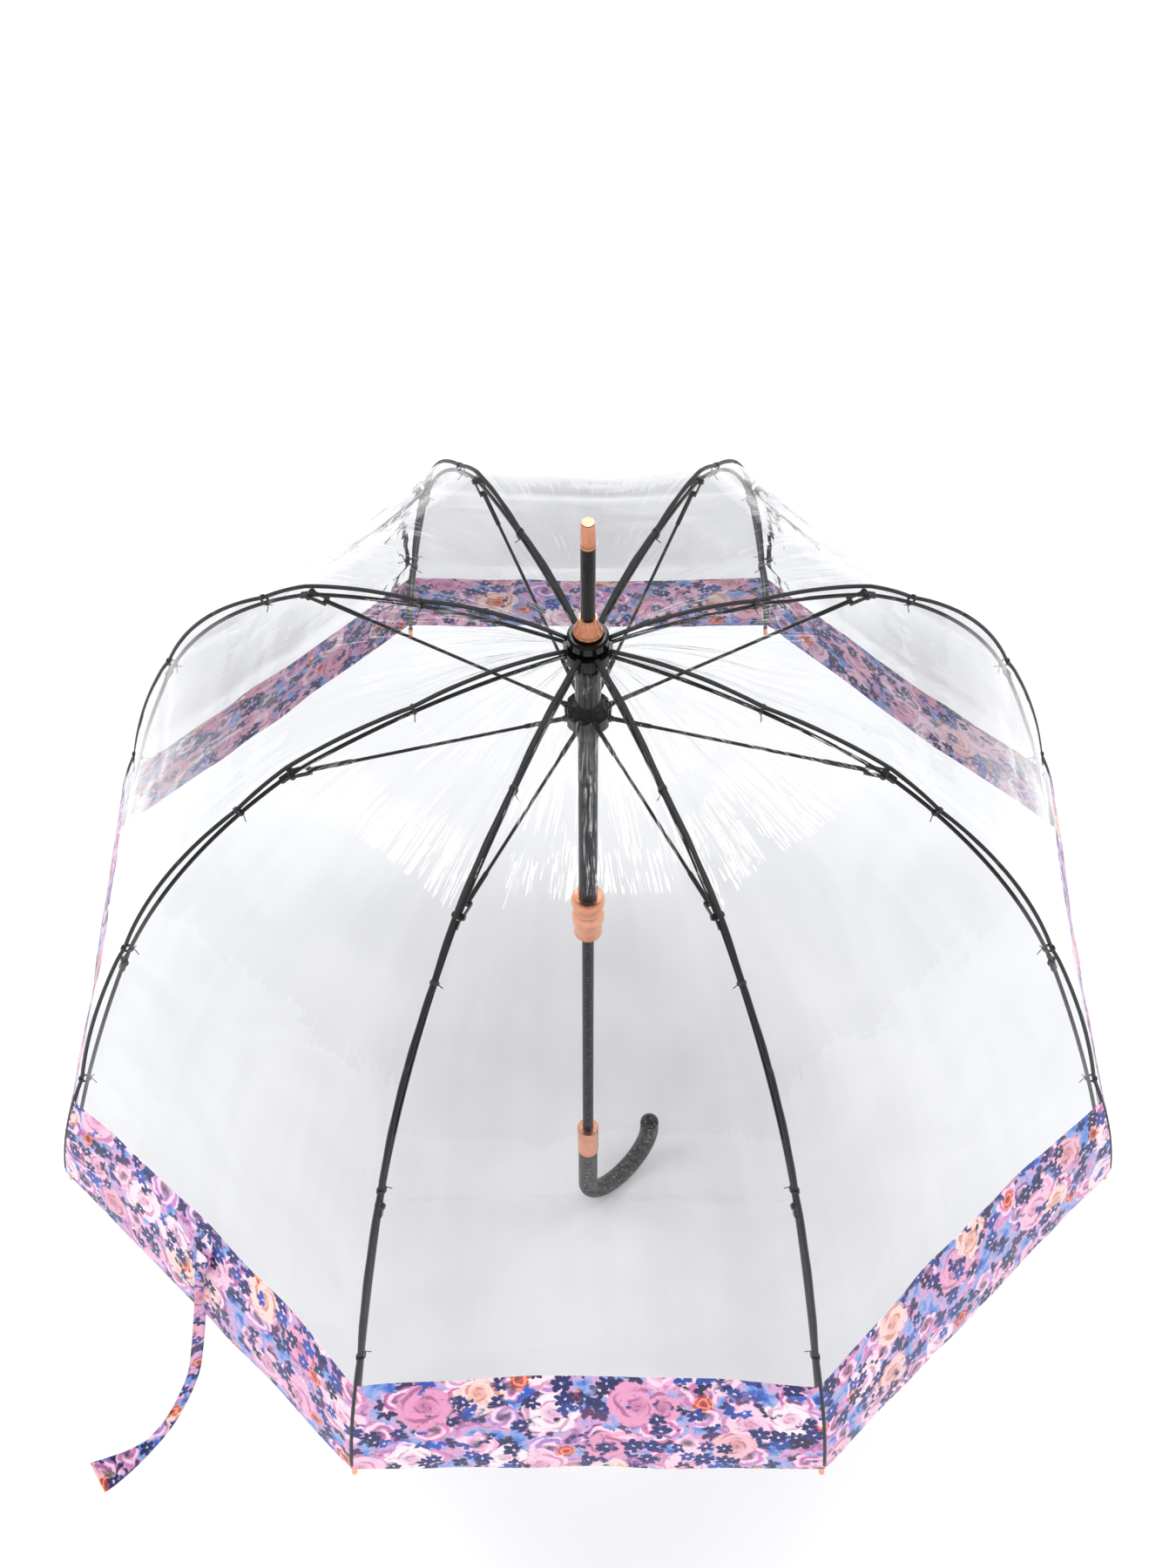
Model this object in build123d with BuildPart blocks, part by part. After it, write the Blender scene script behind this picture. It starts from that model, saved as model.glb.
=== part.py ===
"""Clear dome umbrella with a crook handle: shaft, runner, folding rib frame and canopy, in mm.

Z = 0 is the middle of the straight grip on the shaft axis, +Z runs up the shaft.
"""
import os
from math import atan2, cos, degrees, hypot, radians, sin, sqrt, tan

from build123d import *

os.makedirs("parts", exist_ok=True)

# Overall layout
RIBS = 8
PITCH = 360 / RIBS
FIRST_RIB = PITCH / 2  # azimuth of rib 1, so the ribs straddle the X and Y axes
HALF = radians(PITCH / 2)
RIM_R = 440.0  # radius of the circle through the rib tips
RIM_Z = 295.0

# Folding linkage: rib and stretcher have the same length between pivots
PIVOT_R = 14.0  # wire radius in both the crown and the runner
CROWN_Z = 723.0
RUNNER_Z = 657.0
LINK_L = 205.0
JOINT_Z = (CROWN_Z + RUNNER_Z) / 2
JOINT_R = PIVOT_R + sqrt(LINK_L**2 - ((CROWN_Z - RUNNER_Z) / 2) ** 2)

# Rib line in the rib's own plane (radius, height): crown, joint, knee and tip, and a point on each arc
KNEE = (356.0, 544.0)
RIB_LINE = [
    (PIVOT_R, CROWN_Z),
    (114.0, 716.5),
    (JOINT_R, JOINT_Z),
    (297.9, 628.2),
    KNEE,
    (403.7, 421.4),
    (RIM_R, RIM_Z),
]
ROD_R = 1.5
LUG_R = 2.5
LUG_HALF = 1.0  # half thickness of an inner lug
FORK_IN = 1.2  # inner face of a rib fork's ears
FORK_OUT = 2.2
RIVET_R = 0.95
RIVET_GAP = 0.05
TIP_R = 2.1
TIP_L = 17.0

# Stretchers
ROD_S = 1.2
SLEEVE_R = 1.7
SLEEVE_L = 30.0
EAR_IN = 2.4  # the stretcher's ears go outside the rib fork
EAR_OUT = 3.4
FORK_L = 11.0

# Wire rings
WIRE_R = 0.75
WIRE_GAP = 0.05
EYE_W = 3.2
SLOT_W = 3.8

# Shaft and ferrule
SHAFT_R = 4.8
SHAFT_IN = 3.9
SHAFT_LOW = -20.0
SHAFT_TOP = 810.0
FIXED_GAP = 0.02
SLIDE_GAP = 0.07
FERRULE_R = 5.15
FERRULE_LOW = 756.0
FERRULE_TOP = 823.0
TIP_TOP = 845.0
CONE_LOW = 740.0
CONE_R = 8.2  # half way up
CONE_LEAN = 18.6
FLUTES = 12
FLUTE_R = 1.3
FLUTE_DEPTH = 0.5
WASHER_LOW = 730.0
WASHER_R = 14.5

# Runner
TUBE_R = 7.25
TUBE_IN = 5.4
TUBE_LOW = 419.0
TUBE_TOP = 645.0
HEAD_LOW = 633.0
HEAD_TOP = 705.0
COLLAR_LOW = 385.0
COLLAR_TOP = 435.0
SKIRT_R = 9.75  # slips over the handle ring when the umbrella is folded
WINDOW = (445.0, 491.0)

# Handle
HANDLE_R = 8.8
GRIP_LOW = -31.0
GRIP_TOP = 32.0
CROOK_R = 41.0
CROOK_DIR = 44.0
HOOK_UP = 12.0
RING_R = 9.5
RING_TOP = 72.0

# Catches: thin blades that spring out of a slot in the back of the shaft
BLADE_W = 1.2
BLADE_OUT = 8.0
TOP_BLADE = (363.0, 418.7)
LOW_BLADE = (104.0, 145.0)

# Canopy sheets, by their inner face's distance outside the rib line
FILM = (4.2, 0.6)
BORDER = (4.9, 0.7)
TAPE = (5.9, 0.6)
TAPE_W = 6.0
BORDER_TOP = RIM_Z + 97.0
BORDER_LOW = RIM_Z + 3.0
FILM_LOW = RIM_Z + 90.0
CANOPY_HOLE = 7.0
SEAM_GAP = 0.5

# Closure strap, in the middle of the panel between ribs 5 and 6
STRAP_AZ = FIRST_RIB + 4.5 * PITCH
STRAP_R = 398.0
STRAP_Z = 375.0
STRAP_L = 220.0
STRAP_W = 11.0
STRAP_END_W = 26.0
STRAP_T = 0.9
STRAP_DROP = 50.0
WALL_SLOPE = 74.0  # the border's own angle below horizontal there


def az(index):
    """Azimuth of a rib, counted from 1."""
    return FIRST_RIB + (index - 1) * PITCH


def away(a, b):
    """Angle in degrees of the line from a to b in the rib plane."""
    return degrees(atan2(b[1] - a[1], b[0] - a[0]))


def side(point, angle, y):
    """Plane at a point of the rib plane, X along the angle, facing -Y, at height y."""
    a = radians(angle)
    return Plane(
        origin=(point[0], y, point[1]), x_dir=(cos(a), 0, sin(a)), z_dir=(0, -1, 0)
    )


def eye_bar(point, angle, length, y_low, y_high, radius=LUG_R, height=3.0):
    """Flat bar with a round end at a pivot, between two distances from the rib plane."""
    with BuildPart() as bar:
        with BuildSketch(side(point, angle, y_high)):
            Circle(radius)
            with Locations((length / 2, 0)):
                Rectangle(length, height)
        extrude(amount=y_high - y_low)
    return bar.part


def rivet(point, grip):
    """Rivet along Y with a domed head on each side of its grip."""
    with BuildPart() as pin:
        with BuildSketch(side(point, 0, grip)):
            Circle(RIVET_R)
        extrude(amount=2 * grip)
        with BuildSketch(side(point, 0, grip + 0.9), side(point, 0, -grip)):
            Circle(2 * RIVET_R)
        extrude(amount=0.9)
    return pin.part


def bent_rod(start, via, end, radius):
    """Round rod along one arc of the rib line."""
    with BuildPart() as rod:
        with BuildLine(Plane.XZ):
            arc = ThreePointArc(start, via, end)
        with BuildSketch(Plane(origin=arc @ 0, z_dir=arc % 0)):
            Circle(radius)
        sweep(path=arc)
    return rod.part


def pivot_hole(point, radius, reach=10.0):
    """Cutter along Y through a pivot."""
    with BuildPart() as hole:
        with BuildSketch(side(point, 0, reach)):
            Circle(radius)
        extrude(amount=2 * reach)
    return hole.part


def arc_angles(start, via, end):
    """Tangent angles in degrees at both ends of the arc through three points."""
    chord = away(start, end)
    first = away(start, via)
    last = away(via, end)
    turn = first - last
    return chord + turn, chord - turn


def save(part, name):
    part.label = name
    export_step(part, f"parts/{name}.step")


# Rib: upper length from the crown to the stretcher joint
crown_pt, upper_via, joint_pt, middle_via, knee_pt, lower_via, tip_pt = RIB_LINE
upper_in, upper_out = arc_angles(crown_pt, upper_via, joint_pt)
middle_in, middle_out = arc_angles(joint_pt, middle_via, knee_pt)
lower_in, lower_out = arc_angles(knee_pt, lower_via, tip_pt)

with BuildPart() as rib_upper:
    add(bent_rod(crown_pt, upper_via, joint_pt, ROD_R))
    add(pivot_hole(joint_pt, LUG_R + 0.5), mode=Mode.SUBTRACT)
    add(eye_bar(joint_pt, upper_out + 180, 7.0, -LUG_HALF, LUG_HALF))
    add(eye_bar(crown_pt, upper_in, 4.0, -EYE_W / 2, EYE_W / 2))
    add(pivot_hole(crown_pt, WIRE_R + WIRE_GAP), mode=Mode.SUBTRACT)
    add(rivet(joint_pt, EAR_OUT + 0.2))

# Rib: middle length, forked over the upper rib's lug
with BuildPart() as rib_middle:
    add(bent_rod(joint_pt, middle_via, knee_pt, ROD_R))
    add(pivot_hole(joint_pt, LUG_R + 0.5), mode=Mode.SUBTRACT)
    add(pivot_hole(knee_pt, LUG_R + 0.5), mode=Mode.SUBTRACT)
    add(eye_bar(joint_pt, middle_in, 9.0, -FORK_OUT, FORK_OUT))
    add(eye_bar(joint_pt, middle_in, 3.0, -FORK_IN, FORK_IN, LUG_R + 0.5, 6.0), mode=Mode.SUBTRACT)
    add(pivot_hole(joint_pt, RIVET_R + RIVET_GAP), mode=Mode.SUBTRACT)
    add(eye_bar(knee_pt, middle_out + 180, 7.0, -LUG_HALF, LUG_HALF))
    add(rivet(knee_pt, FORK_OUT + 0.2))

# Rib: lower length, forked over the middle rib's lug
with BuildPart() as rib_lower:
    add(bent_rod(knee_pt, lower_via, tip_pt, ROD_R))
    add(pivot_hole(knee_pt, LUG_R + 0.5), mode=Mode.SUBTRACT)
    add(eye_bar(knee_pt, lower_in, 9.0, -FORK_OUT, FORK_OUT))
    add(eye_bar(knee_pt, lower_in, 3.0, -FORK_IN, FORK_IN, LUG_R + 0.5, 6.0), mode=Mode.SUBTRACT)
    add(pivot_hole(knee_pt, RIVET_R + RIVET_GAP), mode=Mode.SUBTRACT)

# Rib tip: turned cap pushed on the end of the lower rib
tip_axis = (cos(radians(lower_out)), 0, sin(radians(lower_out)))
tip_plane = Plane(origin=(tip_pt[0], 0, tip_pt[1]), z_dir=tip_axis)
with BuildPart() as rib_tip:
    with BuildSketch(tip_plane.offset(-8.0)):
        Circle(TIP_R)
    extrude(amount=TIP_L)
    fillet(rib_tip.edges().group_by(Axis.Z)[0], 1.4)
    with BuildSketch(tip_plane.offset(-8.0)):
        Circle(ROD_R + 0.1)
    extrude(amount=8.1, mode=Mode.SUBTRACT)

# Stretcher: eye on the runner wire, thin rod with a sleeve at each end, fork over the rib joint
runner_pt = (PIVOT_R, RUNNER_Z)
rise = away(runner_pt, joint_pt)
rise_axis = (cos(radians(rise)), 0, sin(radians(rise)))
rod_plane = Plane(origin=(runner_pt[0], 0, runner_pt[1]), z_dir=rise_axis)
with BuildPart() as stretcher:
    with BuildSketch(rod_plane.offset(2.0)):
        Circle(ROD_S)
    extrude(amount=LINK_L - FORK_L - 2.0)
    with BuildSketch(rod_plane.offset(4.0), rod_plane.offset(LINK_L - FORK_L - SLEEVE_L - 2.0)):
        Circle(SLEEVE_R)
    extrude(amount=SLEEVE_L)
    add(eye_bar(joint_pt, rise + 180, FORK_L + 3.0, -EAR_OUT, EAR_OUT))
    add(eye_bar(joint_pt, rise + 180, FORK_L, -EAR_IN, EAR_IN, LUG_R + 0.5, 6.0), mode=Mode.SUBTRACT)
    add(pivot_hole(joint_pt, RIVET_R + RIVET_GAP), mode=Mode.SUBTRACT)
    add(eye_bar(runner_pt, rise, 5.0, -EYE_W / 2, EYE_W / 2))
    add(pivot_hole(runner_pt, WIRE_R + WIRE_GAP), mode=Mode.SUBTRACT)

RIB_NODES = {
    "upper": rib_upper.part,
    "middle": rib_middle.part,
    "lower": rib_lower.part,
    "tip": rib_tip.part,
    "stretcher": stretcher.part,
}
for k in range(1, RIBS + 1):
    for role, shape in RIB_NODES.items():
        save(Rot(0, 0, az(k)) * shape, f"rib_{k}_{role}")


def wire_ring(z):
    """Wire ring with one straight side across each rib, so every eye turns on a round wire."""
    with BuildPart() as ring:
        with Locations((0, 0, z)):
            with PolarLocations(PIVOT_R, RIBS, start_angle=FIRST_RIB):
                Cylinder(WIRE_R, 2 * PIVOT_R * tan(HALF), rotation=(90, 0, 0))
            with PolarLocations(PIVOT_R / cos(HALF), RIBS):
                Sphere(WIRE_R)
    return ring.part


save(wire_ring(CROWN_Z), "crown_wire")
save(wire_ring(RUNNER_Z), "runner_wire")

# Crown: notched hub; the wire lies in a groove that opens downwards
with BuildPart() as crown:
    with BuildSketch(Plane.XY.offset(CROWN_Z - 6.0)):
        Circle(17.0)
    extrude(amount=10.2)
    with BuildSketch(Plane.XY.offset(CROWN_Z - 14.0)):
        Circle(8.0)
    extrude(amount=8.0)
    with BuildSketch(Plane.XY.offset(CROWN_Z - 6.0)):
        with PolarLocations(PIVOT_R + 0.5, RIBS, start_angle=FIRST_RIB):
            Rectangle(8.0, SLOT_W)
    extrude(amount=8.8, mode=Mode.SUBTRACT)
    with BuildSketch(Plane.XY.offset(CROWN_Z - 6.0)):
        with PolarLocations(PIVOT_R, RIBS, start_angle=FIRST_RIB):
            Rectangle(2 * WIRE_R + 0.2, 2 * (PIVOT_R + WIRE_R) * tan(HALF))
    extrude(amount=6.0 + WIRE_R + 0.1, mode=Mode.SUBTRACT)
    with BuildSketch(Plane.XY.offset(CROWN_Z - 15.0)):
        Circle(SHAFT_R + FIXED_GAP)
    extrude(amount=30.0, mode=Mode.SUBTRACT)
save(crown.part, "crown")

# Shaft: steel tube with a slot for each catch in its back
with BuildPart() as shaft:
    with BuildSketch(Plane.XY.offset(SHAFT_LOW)):
        Circle(SHAFT_R)
        Circle(SHAFT_IN, mode=Mode.SUBTRACT)
    extrude(amount=SHAFT_TOP - SHAFT_LOW)
    for low, high in (TOP_BLADE, LOW_BLADE):
        with Locations((0, SHAFT_R, (low + high) / 2)):
            Box(BLADE_W + 0.4, 2 * SHAFT_R, high - low + 2.0, mode=Mode.SUBTRACT)
save(shaft.part, "shaft")

# Catches: the square end carries the runner, the slope lets the runner ride over it
with BuildPart() as top_catch:
    with BuildSketch(Plane.YZ.offset(-BLADE_W / 2)):
        with BuildLine():
            Polyline(
                (1.9, TOP_BLADE[0]), (4.4, TOP_BLADE[0]), (BLADE_OUT, TOP_BLADE[1] - 3),
                (BLADE_OUT, TOP_BLADE[1]), (1.9, TOP_BLADE[1]), close=True,
            )
        make_face()
    extrude(amount=BLADE_W)
save(top_catch.part, "top_catch")

with BuildPart() as bottom_catch:
    with BuildSketch(Plane.YZ.offset(-BLADE_W / 2)):
        with BuildLine():
            Polyline(
                (1.9, LOW_BLADE[1]), (4.4, LOW_BLADE[1]), (BLADE_OUT, LOW_BLADE[0] + 3),
                (BLADE_OUT, LOW_BLADE[0]), (1.9, LOW_BLADE[0]), close=True,
            )
        make_face()
    extrude(amount=BLADE_W)
save(bottom_catch.part, "bottom_catch")

# Ferrule: black tube over the shaft's end, closed by a plugged tip
with BuildPart() as ferrule_tube:
    with BuildSketch(Plane.XY.offset(FERRULE_LOW)):
        Circle(FERRULE_R)
        Circle(SHAFT_R + FIXED_GAP, mode=Mode.SUBTRACT)
    extrude(amount=FERRULE_TOP - FERRULE_LOW)
save(ferrule_tube.part, "ferrule_tube")

with BuildPart() as ferrule_tip:
    with BuildSketch(Plane.XZ):
        with BuildLine():
            Polyline(
                (0, SHAFT_TOP + 1), (SHAFT_R, SHAFT_TOP + 1), (SHAFT_R, FERRULE_TOP),
                (FERRULE_R, FERRULE_TOP), (FERRULE_R, FERRULE_TOP + 2), (4.7, FERRULE_TOP + 2.6),
                (4.7, FERRULE_TOP + 3.6), (FERRULE_R - 0.1, FERRULE_TOP + 4.2), (4.7, TIP_TOP - 0.8),
                (4.2, TIP_TOP), (0, TIP_TOP), close=True,
            )
        make_face()
    revolve(axis=Axis.Z)
save(ferrule_tip.part, "ferrule_tip")

# Cap: metal cone on a thick washer that clamps the canopy to the crown
with BuildPart() as cap_cone:
    with BuildSketch(Plane.XZ):
        with BuildLine():
            Polyline((10.0, CONE_LOW), (SHAFT_R + FIXED_GAP, CONE_LOW), (SHAFT_R + FIXED_GAP, FERRULE_LOW))
            Polyline(
                (SHAFT_R + FIXED_GAP, FERRULE_LOW), (6.4, FERRULE_LOW), (6.4, FERRULE_LOW - 3),
                (9.6, CONE_LOW + 3.5),
            )
            ThreePointArc((9.6, CONE_LOW + 3.5), (10.5, CONE_LOW + 1.8), (10.0, CONE_LOW))
        make_face()
    revolve(axis=Axis.Z)
    with Locations((0, 0, CONE_LOW + 8.0)):
        with PolarLocations(CONE_R + FLUTE_R - FLUTE_DEPTH, FLUTES):
            Cylinder(FLUTE_R, 8.0, rotation=(0, -CONE_LEAN, 0), mode=Mode.SUBTRACT)
save(cap_cone.part, "cap_cone")

with BuildPart() as cap_washer:
    with BuildSketch(Plane.XZ):
        with BuildLine():
            Polyline(
                (SHAFT_R + FIXED_GAP, WASHER_LOW + 5.5), (8.5, WASHER_LOW), (WASHER_R - 0.8, WASHER_LOW),
                (WASHER_R, WASHER_LOW + 1.5), (WASHER_R, WASHER_LOW + 7.5), (WASHER_R - 1.5, WASHER_LOW + 9),
                (WASHER_R - 3.5, WASHER_LOW + 9), (10.4, WASHER_LOW + 7.5), (10.2, CONE_LOW),
                (SHAFT_R + FIXED_GAP, CONE_LOW), close=True,
            )
        make_face()
    revolve(axis=Axis.Z)
save(cap_washer.part, "cap_washer")

# Runner head: notched ring for the stretchers, slim body above, taper below
with BuildPart() as runner_head:
    with BuildSketch(Plane.XZ):
        with BuildLine():
            Polyline(
                (SHAFT_R + SLIDE_GAP, TUBE_TOP), (TUBE_R + FIXED_GAP, TUBE_TOP),
                (TUBE_R + FIXED_GAP, HEAD_LOW), (8.6, HEAD_LOW), (10.0, RUNNER_Z - 6.5),
                (16.8, RUNNER_Z - 6.5), (16.8, RUNNER_Z + 4.5), (10.5, RUNNER_Z + 6.0),
                (10.5, RUNNER_Z + 10.0), (9.25, RUNNER_Z + 10.5), (9.25, HEAD_TOP - 1),
                (8.25, HEAD_TOP), (SHAFT_R + SLIDE_GAP, HEAD_TOP), close=True,
            )
        make_face()
    revolve(axis=Axis.Z)
    with BuildSketch(Plane.XY.offset(RUNNER_Z - 7.0)):
        with PolarLocations(PIVOT_R + 0.5, RIBS, start_angle=FIRST_RIB):
            Rectangle(7.6, SLOT_W)
    extrude(amount=14.0, mode=Mode.SUBTRACT)
    with BuildSketch(Plane.XY.offset(RUNNER_Z - WIRE_R - 0.1)):
        with PolarLocations(PIVOT_R, RIBS, start_angle=FIRST_RIB):
            Rectangle(2 * WIRE_R + 0.2, 2 * (PIVOT_R + WIRE_R) * tan(HALF))
    extrude(amount=7.0, mode=Mode.SUBTRACT)
save(runner_head.part, "runner_head")

with BuildPart() as runner_tube:
    with BuildSketch(Plane.XY.offset(TUBE_LOW)):
        Circle(TUBE_R)
        Circle(TUBE_IN, mode=Mode.SUBTRACT)
    extrude(amount=TUBE_TOP - TUBE_LOW - 0.1)
    with Locations((0, TUBE_R, sum(WINDOW) / 2)):
        Box(2.4, 2 * TUBE_IN, WINDOW[1] - WINDOW[0], mode=Mode.SUBTRACT)
save(runner_tube.part, "runner_tube")

# Grip collar: flared cup above, waist, and a hollow skirt that slips over the handle ring
with BuildPart() as grip_collar:
    with BuildSketch(Plane.XZ):
        with BuildLine():
            Polyline((SKIRT_R, TUBE_LOW), (SKIRT_R, COLLAR_LOW), (10.8, COLLAR_LOW))
            ThreePointArc((10.8, COLLAR_LOW), (11.25, COLLAR_LOW + 0.5), (11.4, COLLAR_LOW + 1.5))
            Line((11.4, COLLAR_LOW + 1.5), (11.5, COLLAR_LOW + 14))
            ThreePointArc((11.5, COLLAR_LOW + 14), (12.9, COLLAR_LOW + 22), (10.7, COLLAR_LOW + 30))
            Line((10.7, COLLAR_LOW + 30), (10.7, COLLAR_LOW + 34))
            ThreePointArc((10.7, COLLAR_LOW + 34), (13.4, COLLAR_LOW + 42), (11.2, COLLAR_TOP))
            Polyline(
                (11.2, COLLAR_TOP), (TUBE_R + FIXED_GAP, COLLAR_TOP), (TUBE_R + FIXED_GAP, TUBE_LOW),
                (SKIRT_R, TUBE_LOW),
            )
        make_face()
    revolve(axis=Axis.Z)
save(grip_collar.part, "grip_collar")

# Handle: ring and crook
with BuildPart() as handle_ring:
    with BuildSketch(Plane.XY.offset(GRIP_TOP)):
        Circle(RING_R)
    extrude(amount=RING_TOP - GRIP_TOP)
    chamfer(handle_ring.edges().filter_by(GeomType.CIRCLE), 0.5)
    with BuildSketch(Plane.XY.offset(GRIP_TOP)):
        Circle(SHAFT_R + FIXED_GAP)
    extrude(amount=RING_TOP - GRIP_TOP, mode=Mode.SUBTRACT)
save(handle_ring.part, "handle_ring")

with BuildPart() as handle:
    with BuildLine(Plane.XZ) as crook_line:
        Line((0, GRIP_TOP), (0, GRIP_LOW))
        ThreePointArc((0, GRIP_LOW), (CROOK_R, GRIP_LOW - CROOK_R), (2 * CROOK_R, GRIP_LOW))
        Line((2 * CROOK_R, GRIP_LOW), (2 * CROOK_R, GRIP_LOW + HOOK_UP))
    with BuildSketch(Plane.XY.offset(GRIP_TOP)):
        Circle(HANDLE_R)
    sweep(path=crook_line.line)
    with Locations((2 * CROOK_R, 0, GRIP_LOW + HOOK_UP)):
        Sphere(HANDLE_R)
    with BuildSketch(Plane.XY.offset(SHAFT_LOW - 0.5)):
        Circle(SHAFT_R + FIXED_GAP)
    extrude(amount=GRIP_TOP - SHAFT_LOW + 1.0, mode=Mode.SUBTRACT)
save(Rot(0, 0, CROOK_DIR) * handle.part, "crook_handle")


def offset_line(gap):
    """Points of the rib line moved outwards by a gap."""
    points = []
    for i, (r, z) in enumerate(RIB_LINE):
        a = RIB_LINE[max(i - 1, 0)]
        b = RIB_LINE[min(i + 1, len(RIB_LINE) - 1)]
        length = hypot(b[0] - a[0], b[1] - a[1])
        points.append((r - gap * (b[1] - a[1]) / length, z + gap * (b[0] - a[0]) / length))
    return points


def sheet_face(gap, thickness, start_r, squeeze):
    """Thin face that follows the rib line outside the ribs, with radii scaled by squeeze."""
    inner = [(r * squeeze, z) for r, z in offset_line(gap)]
    outer = [(r * squeeze, z) for r, z in offset_line(gap + thickness)]
    inner[0] = (start_r, CROWN_Z + gap + 0.8)
    outer[0] = (start_r, CROWN_Z + gap + 0.8 + thickness)
    with BuildSketch(Plane.XZ) as face:
        with BuildLine():
            for i in (0, 2, 4):
                ThreePointArc(inner[i], inner[i + 1], inner[i + 2])
                ThreePointArc(outer[i], outer[i + 1], outer[i + 2])
            Line(inner[0], outer[0])
            Line(inner[6], outer[6])
        make_face()
    return face.sketch


def around(part, first):
    """One separate copy of a sheet per rib pitch."""
    return Compound([Rot(0, 0, first + k * PITCH) * solid for k in range(RIBS) for solid in part.solids()])


def panels(gap, thickness, low, high):
    """All canopy panels: flat across, curved from crown to rim, trimmed at the rib planes."""
    reach = RIM_R + 80.0
    with BuildPart() as panel:
        extrude(sheet_face(gap, thickness, CANOPY_HOLE, cos(HALF)), amount=reach * tan(HALF), both=True)
        with BuildSketch(Plane.XY.offset(low)):
            with BuildLine():
                Polyline(
                    (SEAM_GAP / sin(HALF), 0), (reach, -(reach * tan(HALF) - SEAM_GAP / cos(HALF))),
                    (reach, reach * tan(HALF) - SEAM_GAP / cos(HALF)), close=True,
                )
            make_face()
        extrude(amount=high - low, mode=Mode.INTERSECT)
    return around(panel.part, 0)


save(panels(*FILM, FILM_LOW, CROWN_Z + 30), "canopy_film")
save(panels(*BORDER, BORDER_LOW, BORDER_TOP), "canopy_border")

# Seam tapes: one narrow strip outside each rib, from the cap washer to the rim
with BuildPart() as tape:
    extrude(sheet_face(*TAPE, PIVOT_R, 1.0), amount=TAPE_W / 2, both=True)
    with BuildSketch(Plane.XY.offset(BORDER_LOW)):
        with Locations(((WASHER_R + 5.0 + RIM_R + 60.0) / 2, 0)):
            Rectangle(RIM_R + 60.0 - WASHER_R - 5.0, 20.0)
    extrude(amount=500.0, mode=Mode.INTERSECT)
save(around(tape.part, FIRST_RIB), "seam_tapes")

# Closure strap: a sewn patch with a bead, and a flared band with a press stud that swings on the bead
root_pt = (STRAP_R, STRAP_Z)
with BuildPart() as strap_patch:
    with BuildSketch(side(root_pt, -WALL_SLOPE, STRAP_W / 2 + 2)):
        with Locations((0, -2.6)):
            Rectangle(16.0, 0.8)
    extrude(amount=STRAP_W + 4)
    for y in (STRAP_W / 2 + 2, -STRAP_W / 2 - 0.5):
        with BuildSketch(side(root_pt, -WALL_SLOPE, y)):
            Circle(1.6)
            with Locations((0, -1.3)):
                Rectangle(3.2, 2.6)
        extrude(amount=1.5)
    with BuildSketch(side(root_pt, 0, STRAP_W / 2 + 1)):
        Circle(0.6)
    extrude(amount=STRAP_W + 2)
save(Rot(0, 0, STRAP_AZ) * strap_patch.part, "strap_patch")

band_axis = radians(-STRAP_DROP)
band_plane = Plane(
    origin=(STRAP_R, 0, STRAP_Z),
    x_dir=(cos(band_axis), 0, sin(band_axis)),
    z_dir=(-sin(band_axis), 0, cos(band_axis)),
)
with BuildPart() as closure_strap:
    with BuildSketch(side(root_pt, 0, STRAP_W / 2 - 0.5)):
        Circle(1.5)
    extrude(amount=STRAP_W - 1)
    with BuildSketch(band_plane.offset(-STRAP_T / 2)):
        with BuildLine():
            Polyline(
                (0.8, -STRAP_W / 2 + 0.5), (STRAP_L - 45, -STRAP_W / 2), (STRAP_L, -STRAP_END_W / 2),
                (STRAP_L, STRAP_END_W / 2), (STRAP_L - 45, STRAP_W / 2), (0.8, STRAP_W / 2 - 0.5), close=True,
            )
        make_face()
    extrude(amount=STRAP_T)
    with BuildSketch(side(root_pt, 0, STRAP_W)):
        Circle(0.7)
    extrude(amount=2 * STRAP_W, mode=Mode.SUBTRACT)
    with Locations(band_plane.offset(STRAP_T / 2)):
        with Locations((STRAP_L - 14, 0)):
            Cylinder(4.5, 3.0)
save(Rot(0, 0, STRAP_AZ) * closure_strap.part, "closure_strap")
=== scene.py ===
"""Clear dome umbrella: materials, canopy, bindings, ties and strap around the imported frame, in metres."""

import bmesh
import bpy
import math
import numpy as np
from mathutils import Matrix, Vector, noise


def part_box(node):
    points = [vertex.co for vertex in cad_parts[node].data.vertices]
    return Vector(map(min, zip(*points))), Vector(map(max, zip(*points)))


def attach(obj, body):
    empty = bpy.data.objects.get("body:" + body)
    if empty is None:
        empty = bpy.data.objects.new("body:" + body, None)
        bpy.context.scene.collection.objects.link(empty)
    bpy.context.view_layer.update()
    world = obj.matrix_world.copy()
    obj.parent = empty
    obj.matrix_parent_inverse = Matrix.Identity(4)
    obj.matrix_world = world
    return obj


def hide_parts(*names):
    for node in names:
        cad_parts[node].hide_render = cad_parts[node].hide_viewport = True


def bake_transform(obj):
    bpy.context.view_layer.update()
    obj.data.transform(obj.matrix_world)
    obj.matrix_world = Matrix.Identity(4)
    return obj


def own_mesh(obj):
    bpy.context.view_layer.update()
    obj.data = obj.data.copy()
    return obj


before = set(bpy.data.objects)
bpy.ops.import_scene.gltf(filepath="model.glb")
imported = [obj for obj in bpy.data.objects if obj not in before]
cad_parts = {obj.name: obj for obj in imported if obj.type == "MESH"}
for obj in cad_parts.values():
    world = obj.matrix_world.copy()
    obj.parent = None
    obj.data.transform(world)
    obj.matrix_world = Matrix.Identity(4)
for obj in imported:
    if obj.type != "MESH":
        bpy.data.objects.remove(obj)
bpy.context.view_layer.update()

MM = 0.001
RIBS = 8
PITCH = math.radians(45)
HALF = PITCH / 2
RIM_Z = 295.0
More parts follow.
